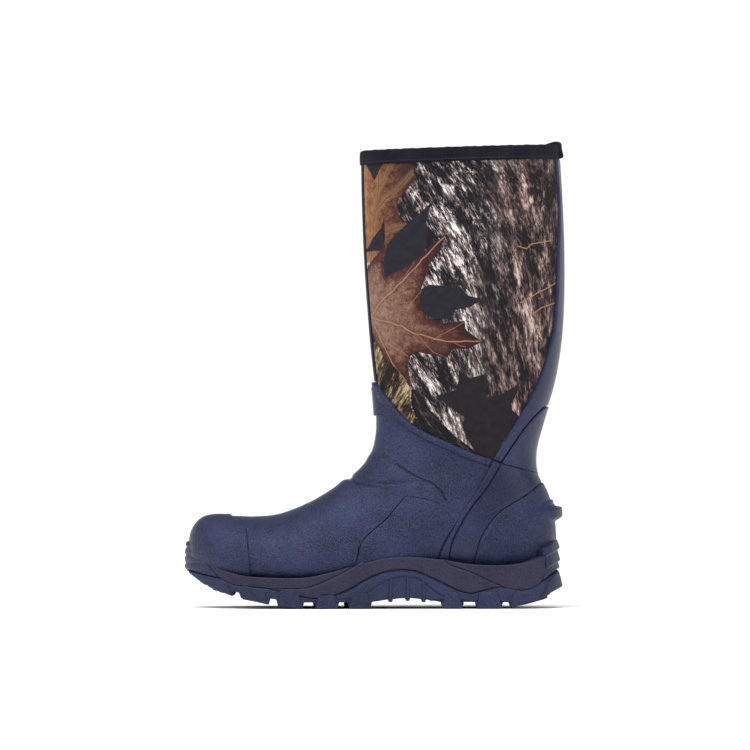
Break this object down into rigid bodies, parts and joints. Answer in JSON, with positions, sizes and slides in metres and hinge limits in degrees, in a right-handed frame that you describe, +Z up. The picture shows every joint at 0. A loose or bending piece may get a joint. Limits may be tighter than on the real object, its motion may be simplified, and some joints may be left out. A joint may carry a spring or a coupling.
{
  "type": "insulated hunting boot",
  "caption": "Tall insulated rubber hunting boot with a printed neoprene shaft, moulded rubber foot, heel kick ledge, lugged sole, fleece lining and a removable footbed",
  "frame": {"origin": "centre of the boot's box on the plane that the tread stands on", "axes": "+Z up to the collar, toe towards -X, outer (lateral) side towards -Y; a left boot"},
  "size_m": [0.3176, 0.1114, 0.3918],
  "materials": {
    "upper_rubber": "dark navy, fine grain, satin",
    "sole_rubber": "dark slate, matt",
    "midsole_foam": "dark grey, slightly rough",
    "printed_neoprene": "woodland print of leaves and bark",
    "black_neoprene": "black, matt",
    "insulation_felt": "off-white felt",
    "stiffener_sheet": "tan moulded sheet",
    "lining_fleece": "dark grey pile",
    "insole_board": "tan fibre board",
    "knit_tape": "near-black knit",
    "footbed_foam": "dark foam",
    "footbed_knit": "grey knit",
    "shank_steel": "spring steel"
  },
  "bodies": {
    "boot": {"outsole": "sole_rubber", "toe_bumper": "sole_rubber", "heel_bumper": "sole_rubber", "midsole_front": "midsole_foam", "midsole_saddle": "midsole_foam", "midsole_heel": "midsole_foam", "shank": "shank_steel", "foot_shell": "upper_rubber", "toe_cap": "upper_rubber", "lateral_side_panel": "upper_rubber", "medial_side_panel": "upper_rubber", "lateral_heel_strap": "upper_rubber", "medial_heel_strap": "upper_rubber", "lateral_heel_quarter": "upper_rubber", "medial_heel_quarter": "upper_rubber", "heel_counter": "upper_rubber", "kick_lug": "upper_rubber", "tendon_panel": "upper_rubber", "back_spine": "upper_rubber", "front_shin_strip": "upper_rubber", "front_ankle_patch": "upper_rubber", "vamp_edge_band": "upper_rubber", "lateral_shaft_panel": "printed_neoprene", "medial_shaft_panel": "printed_neoprene", "neoprene_bootie": "black_neoprene", "foot_insulation": "insulation_felt", "toe_puff": "stiffener_sheet", "heel_stiffener": "stiffener_sheet", "fleece_lining": "lining_fleece", "insole_board": "insole_board", "collar_binding": "knit_tape", "binding_seam_tab": "knit_tape"},
    "footbed": {"footbed_foam": "footbed_foam", "footbed_cover": "footbed_knit"}
  },
  "joints": [
    {"name": "footbed_lift", "type": "hinge", "parent": "boot", "child": "footbed", "pos_m": [-0.1415, 0, 0.04], "axis": [0, -1, 0], "range_deg": [0, 12]}
  ]
}
